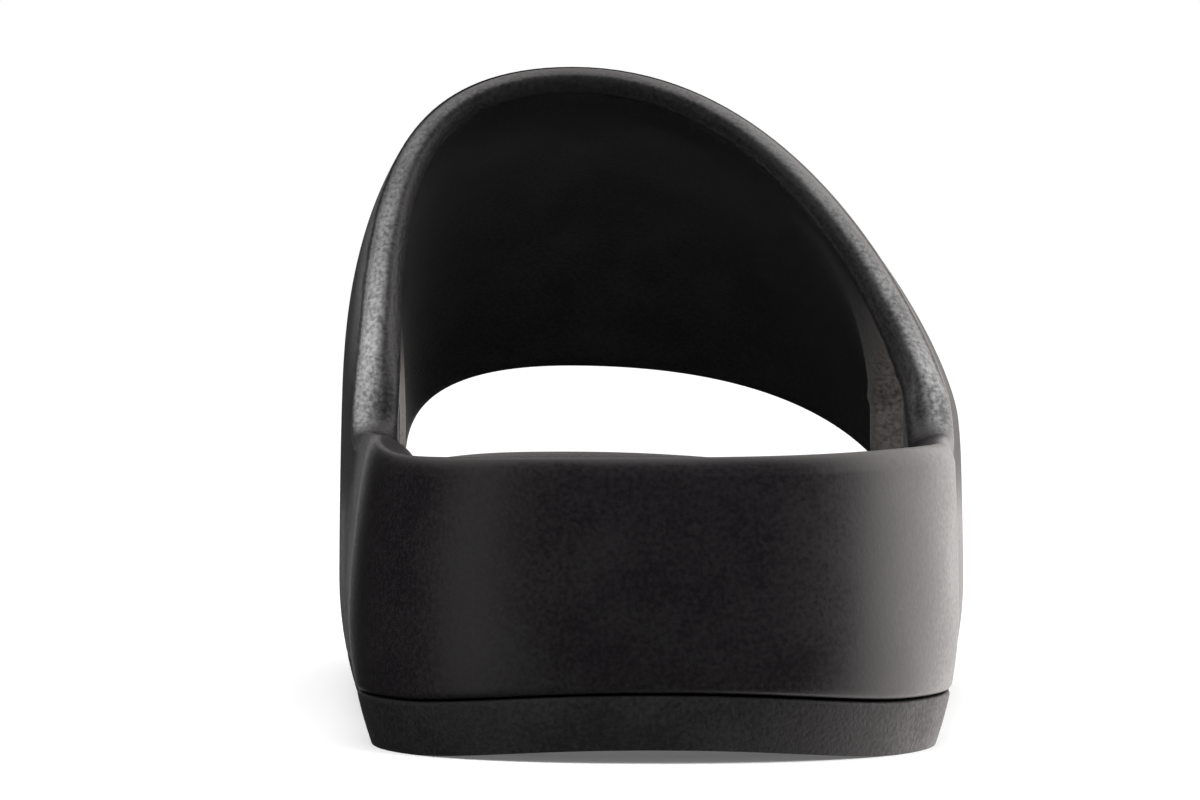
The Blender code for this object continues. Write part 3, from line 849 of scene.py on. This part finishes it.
def painted_sheen_marks(wall):
    """How far the inner sides get the painted sheen, a lighter brownish grey that stands in for light
    falling on them: on the strap by a smooth step up the arch times one forwards, and on the cup's
    wall below it by the share at the strap's foot."""
    ahead = ACROSS[:, None] * np.array(SHEEN_LOSS_RATE)[:, None, None]
    on_strap = smooth_step(SHEEN_START - CLIMBED * SHEEN_RATE) * (1 - SHEEN_LOSS * smooth_step(ahead))
    on_wall = np.zeros(wall.shape[:3])
    on_wall[:, FIRST_STRAP : LAST_STRAP + 1] = on_strap[:, :, :1]
    return on_strap, on_wall


def mark_values(surfaces, **shares):
    """One mark at all points of the surfaces: the share given for a surface, or 0 where none is."""
    return [np.zeros(points.shape[:-1]) + shares.get(name, 0) for name, points in surfaces.items()]


base = sole_top(s) + CLEARANCE
wall = soften(outer_wall(s, plan, inward, base, wall_top(s)), inward, 1, 0)
underside = rows(wall[:, :, 0], spine(s, lambda along: sole_top(along) + CLEARANCE))
rim = wall[:, :, -1]
padded = strap_padding(s)
inner_rim = rim + level(inward) * (SIDE_WALL + padded)[..., None]
dropped = smooth_step(past_strap(s) / INNER_DROP_LENGTH)
# The cup's wall has already moved in at this height, so a fine slit stays open under the rim's lip.
inner_top = rim[..., 2] - INNER_DROP * dropped
inner_rim[..., 2] = inner_top
cup_floor = bed_height(s) + BED_DISH
cup_levels = [inner_top * (1 - f) + cup_floor * f for f in np.linspace(0, 1, INNER_STEPS + 1)]
inner_wall = np.stack([cup_wall(s, inward, inner_rim, z, padded) for z in cup_levels], axis=2)
bed = dished(inner_wall[:, :, -1], spine(s, bed_height), 0)
outer_strap, inner_strap = strap_skins(wall, inward, padded)
rear_outer, rear_inner = rear_loop(rim, outer_strap), rear_loop(inner_rim, inner_strap)
toe_outer, toe_inner = toe_loop(rim, outer_strap), toe_loop(inner_rim, inner_strap)
edge_share = strap_share(rear_outer, 2 * FIRST_STRAP - 1)
no_drop = np.zeros(outer_strap.shape[:3])
rear_drop = rear_loop(dropped, no_drop)[:, None]
toe_drop = toe_loop(dropped, no_drop)[:, None]

# The rear edge starts to take the outer side's profile a share of BALL_WIDTH inside the middle.
OUTER_START = 0.2
OUTER_RATE = 2
outer_side = smooth_step((rear_outer[:, :1] / BALL_WIDTH + OUTER_START) * OUTER_RATE)
foot_lip = lip(rear_outer, rear_inner, edge_share, rear_drop, outer_side)
toe_lip = lip(toe_outer, toe_inner, np.zeros((len(toe_outer), 1)), toe_drop)

# The painted light inside the strap and the cup, a lighter colour that makes up for their shade,
# is weak at the strap's rear edge and full a third of the way forwards.
INSIDE_LIGHT_REAR = 0.15
INSIDE_LIGHT_RATE = 3
inside_light_share = INSIDE_LIGHT_REAR + (1 - INSIDE_LIGHT_REAR) * smooth_step(ACROSS * INSIDE_LIGHT_RATE)[:, None]
on_lip, on_skin = edge_highlight_marks(rear_outer)
on_strap, on_wall = painted_sheen_marks(inner_wall)
surfaces = {
    "wall": wall,
    "underside": underside,
    "inner_wall": inner_wall,
    "bed": bed,
    "outer_strap": outer_strap,
    "inner_strap": inner_strap,
    "foot_lip": foot_lip,
    "toe_lip": toe_lip,
}
marks = {
    # A painted highlight along the strap's rear edge, over its coarse grain.
    "band": mark_values(surfaces, outer_strap=on_skin, foot_lip=on_lip),
    "strap": mark_values(surfaces, wall=strap_marks(wall, s), outer_strap=1),
    # A painted sheen: the lower inner walls lighter and brownish, standing in for light falling on them.
    "painted_sheen": mark_values(surfaces, inner_wall=on_wall, inner_strap=on_strap),
    # Painted light: the inner surfaces lighter to make up for the shade inside the shoe.
    "painted_inside_light": mark_values(surfaces, inner_wall=1, bed=1, inner_strap=inside_light_share),
}
grids = halves(wall, underside, inner_wall, bed, outer_strap, inner_strap)
moulding = skin("upper_and_midsole_finished", grids, [foot_lip, toe_lip], marks)
heel_skin = Finish(0.004, 0.008, 0.32, 0.42)
strap_skin = Finish(0.006, 0.011, 0.36, 0.48)
# Painted light inside the strap and the cup.
inside_light_skin = Finish(0.034, 0.070, 0.50, 0.62)
# Painted sheen on the lower inner walls.
painted_sheen_skin = Finish(0.028, 0.115, 0.44, 0.58, 0.20)
# Painted highlight on the strap's rear edge.
edge_highlight_skin = Finish(0.105, 0.285, 0.48, 0.62)
rough_skin = Finish(0.007, 0.014, 0.66, 0.78)
marked = (("strap", rough_skin), ("painted_inside_light", inside_light_skin), ("painted_sheen", painted_sheen_skin), ("band", edge_highlight_skin))
moulded_foam = foam("moulded_foam", strap_skin, depth=0.00012, specular=0.35, marked=marked, heel=heel_skin)
moulding.data.materials.append(moulded_foam)
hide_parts("upper_and_midsole")
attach(moulding, "root")


# Insole: a soft foam footbed laid into the cup. It is cut to follow the cup's wall with a fine gap
# all round, and its top is dished like the floor under it.
INSOLE_EDGE_STEPS = 8

insole_rim = rim + level(inward) * (SIDE_WALL + CLEARANCE)
insole_floor = cup_floor + CLEARANCE
insole_levels = [insole_floor + INSOLE_THICKNESS * f for f in np.linspace(0, 1, INSOLE_EDGE_STEPS + 1)]
insole_side = np.stack([cup_wall(s, inward, insole_rim, z) for z in insole_levels], axis=2)
insole_side = soften(insole_side, inward, 0, 1)
insole_under = dished(insole_side[:, :, 0], spine(s, bed_height), CLEARANCE)
insole_over = dished(insole_side[:, :, -1], spine(s, bed_height), CLEARANCE + INSOLE_THICKNESS)
insole = skin("insole_finished", halves(insole_side, insole_under, insole_over))
footbed_skin = Finish(0.006, 0.014, 0.55, 0.72)
insole.data.materials.append(foam("footbed_foam", footbed_skin, depth=0.00014, specular=0.30))
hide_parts("insole")
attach(insole, "root")


# Studio: a pale floor in a white room, with softboxes on the right, beyond the toe and above. Two
# more, on the left and high behind the heel, are kept out of reflections. The camera looks from
# behind the heel through a long lens.
def flat_material(name, colour, roughness, glow=0.0):
    """Plain paint that glows a little in its own colour."""
    material = bpy.data.materials.new(name)
    material.use_nodes = True
    shader = material.node_tree.nodes["Principled BSDF"]
    shader.inputs["Base Color"].default_value = (*colour, 1)
    shader.inputs["Roughness"].default_value = roughness
    shader.inputs["Emission Color"].default_value = (*colour, 1)
    shader.inputs["Emission Strength"].default_value = glow
    return material


def sheet_of(name, corners, material):
    """Flat sheet of the studio through four corners."""
    mesh = bpy.data.meshes.new(name)
    mesh.from_pydata(corners, [], [(0, 1, 2, 3)])
    mesh.materials.append(material)
    piece = bpy.data.objects.new(name, mesh)
    bpy.context.collection.objects.link(piece)
    return piece


def softbox(name, place, target, width, height, power, colour=(1, 1, 1)):
    """Oblong area light that faces its target and that the camera doesn't see."""
    lamp = bpy.data.lights.new(name, "AREA")
    lamp.shape = "RECTANGLE"
    lamp.size = width
    lamp.size_y = height
    lamp.energy = power
    lamp.color = colour
    light = bpy.data.objects.new(name, lamp)
    bpy.context.collection.objects.link(light)
    light.location = place
    light.visible_camera = False
    light.rotation_euler = (Vector(target) - Vector(place)).to_track_quat("-Z", "Y").to_euler()
    return light


pale_floor = flat_material("pale_floor", (0.95, 0.95, 0.95), 0.9, 0.12)
floor = sheet_of("floor", [(-6, -5, 0), (6, -5, 0), (6, 9, 0), (-6, 9, 0)], pale_floor)
floor.visible_glossy = False

# Strengths of the room as the foam's gloss sees it, and of the white room that lights the shoe.
DARK_SIDE = 0.02
BACKDROP = 1.1
RIGHT_SIDE = 3.0
LEFT_SIDE = 0.7
ABOVE = 1.5
SOFT_LIGHT = 1.0
WARM_WHITE = (1, 0.955, 0.93, 1)


def studio_world():
    """White to the eye and for soft light. In reflections it is a dark, slightly warm room with four
    lit parts: right, straight ahead beyond the toe, left towards the heel, and above. Each is the
    product of two smooth steps along the axes of the direction, and the brightest one counts."""
    world = bpy.data.worlds.new("studio")
    bpy.context.scene.world = world
    world.use_nodes = True
    nodes, links = world.node_tree.nodes, world.node_tree.links
    direction = nodes.new("ShaderNodeTexCoord")
    split = nodes.new("ShaderNodeSeparateXYZ")
    links.new(direction.outputs["Generated"], split.inputs[0])

    def fade(axis, first, last, top):
        """Smooth step in one axis of the direction, from 0 at first to top at last."""
        ramp = nodes.new("ShaderNodeMapRange")
        ramp.interpolation_type = "SMOOTHSTEP"
        ramp.inputs["From Min"].default_value = first
        ramp.inputs["From Max"].default_value = last
        ramp.inputs["To Max"].default_value = top
        links.new(split.outputs[axis], ramp.inputs["Value"])
        return ramp.outputs["Result"]

    def joined(operation, first, second):
        """Sum, product or greater of a socket and a socket or number."""
        step = nodes.new("ShaderNodeMath")
        step.operation = operation
        links.new(first, step.inputs[0])
        if isinstance(second, float):
            step.inputs[1].default_value = second
        else:
            links.new(second, step.inputs[1])
        return step.outputs[0]

    right = joined("MULTIPLY", fade("X", -0.1, 0.6, 1.0), fade("Y", -0.5, 0.2, RIGHT_SIDE))
    ahead = joined("MULTIPLY", fade("X", -0.35, 0.1, 1.0), fade("Y", 0.75, 0.97, BACKDROP))
    left = joined("MULTIPLY", fade("X", -0.62, -0.94, 1.0), fade("Y", 0.1, -0.3, LEFT_SIDE))
    above = joined("MULTIPLY", fade("Z", 0.35, 0.80, 1.0), fade("Y", -0.5, 0.1, ABOVE))
    lit = joined("MAXIMUM", joined("MAXIMUM", ahead, right), joined("MAXIMUM", left, above))
    seen = joined("ADD", lit, DARK_SIDE)
    path = nodes.new("ShaderNodeLightPath")
    choice = nodes.new("ShaderNodeMix")
    links.new(path.outputs["Is Glossy Ray"], choice.inputs[0])
    choice.inputs[2].default_value = SOFT_LIGHT
    links.new(seen, choice.inputs[3])
    links.new(choice.outputs[0], nodes["Background"].inputs["Strength"])
    tint = nodes.new("ShaderNodeMix")
    tint.data_type = "RGBA"
    links.new(path.outputs["Is Glossy Ray"], tint.inputs[0])
    tint.inputs[6].default_value = (1, 1, 1, 1)
    tint.inputs[7].default_value = WARM_WHITE
    links.new(tint.outputs[2], nodes["Background"].inputs["Color"])


studio_world()
softbox("right_softbox", (1.1, 0.15, 0.30), (0, -0.05, 0.05), 0.9, 1.1, 3, (1.0, 0.98, 0.95))
left_softbox = softbox("left_softbox", (-0.95, -0.35, 0.60), (0, -0.05, 0.06), 0.5, 0.5, 7)
softbox("toe_softbox", (-0.15, 1.1, 0.10), (0, 0, 0.045), 0.7, 0.4, 0.3)
inner_softbox = softbox("inner_softbox", (0.70, -0.75, 0.60), (-0.03, -0.03, 0.05), 0.5, 0.5, 8)
left_softbox.visible_glossy = inner_softbox.visible_glossy = False
softbox("top_softbox", (0, -0.45, 1.2), (0, -0.02, 0), 0.7, 0.7, 2)
bpy.context.scene.view_settings.view_transform = "Standard"

SENSOR_WIDTH = 36
LENS = 168.7
CAMERA_PLACE = (0.0006, -0.944, 0.0656)
CAMERA_TARGET = (-0.0078, -0.017, 0.0501)
camera = bpy.data.objects.new("camera", bpy.data.cameras.new("camera"))
bpy.context.collection.objects.link(camera)
camera.data.sensor_width = SENSOR_WIDTH
camera.data.lens = LENS
camera.location = CAMERA_PLACE
aim = Vector(CAMERA_TARGET) - camera.location
camera.rotation_euler = aim.to_track_quat("-Z", "Y").to_euler()
bpy.context.scene.camera = camera
